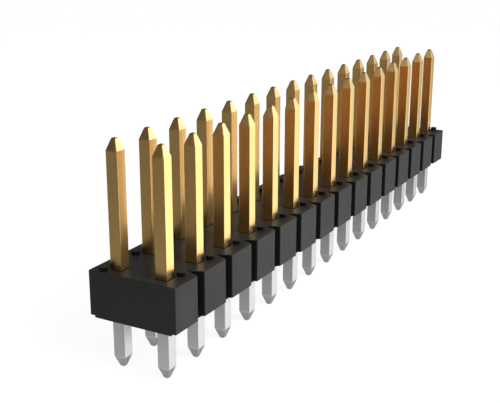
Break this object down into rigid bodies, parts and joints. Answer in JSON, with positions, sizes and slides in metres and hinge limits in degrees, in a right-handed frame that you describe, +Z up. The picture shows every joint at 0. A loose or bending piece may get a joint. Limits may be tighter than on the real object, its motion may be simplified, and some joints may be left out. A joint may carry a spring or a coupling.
{
  "type": "pin header",
  "caption": "Straight double-row pin header: square plated posts and solder tails in a black insulator with V-shaped break grooves.",
  "frame": {"origin": "centre of the seat, the flat underside of the insulator that rests on the circuit board", "axes": "+X along the rows from pin 1 to pin 15, +Y from row a to row b, +Z up out of the board along the posts"},
  "size_m": [0.0374, 0.0048, 0.0113],
  "materials": {
    "insulator": "black moulded thermoplastic with a slight sheen",
    "pin": "bright gold plating on the post, matte tin on the solder tail"
  },
  "bodies": {
    "root": {"insulator": "insulator", "pin_a01": "pin", "pin_a02": "pin", "pin_a03": "pin", "pin_a04": "pin", "pin_a05": "pin", "pin_a06": "pin", "pin_a07": "pin", "pin_a08": "pin", "pin_a09": "pin", "pin_a10": "pin", "pin_a11": "pin", "pin_a12": "pin", "pin_a13": "pin", "pin_a14": "pin", "pin_a15": "pin", "pin_b01": "pin", "pin_b02": "pin", "pin_b03": "pin", "pin_b04": "pin", "pin_b05": "pin", "pin_b06": "pin", "pin_b07": "pin", "pin_b08": "pin", "pin_b09": "pin", "pin_b10": "pin", "pin_b11": "pin", "pin_b12": "pin", "pin_b13": "pin", "pin_b14": "pin", "pin_b15": "pin"}
  },
  "joints": []
}
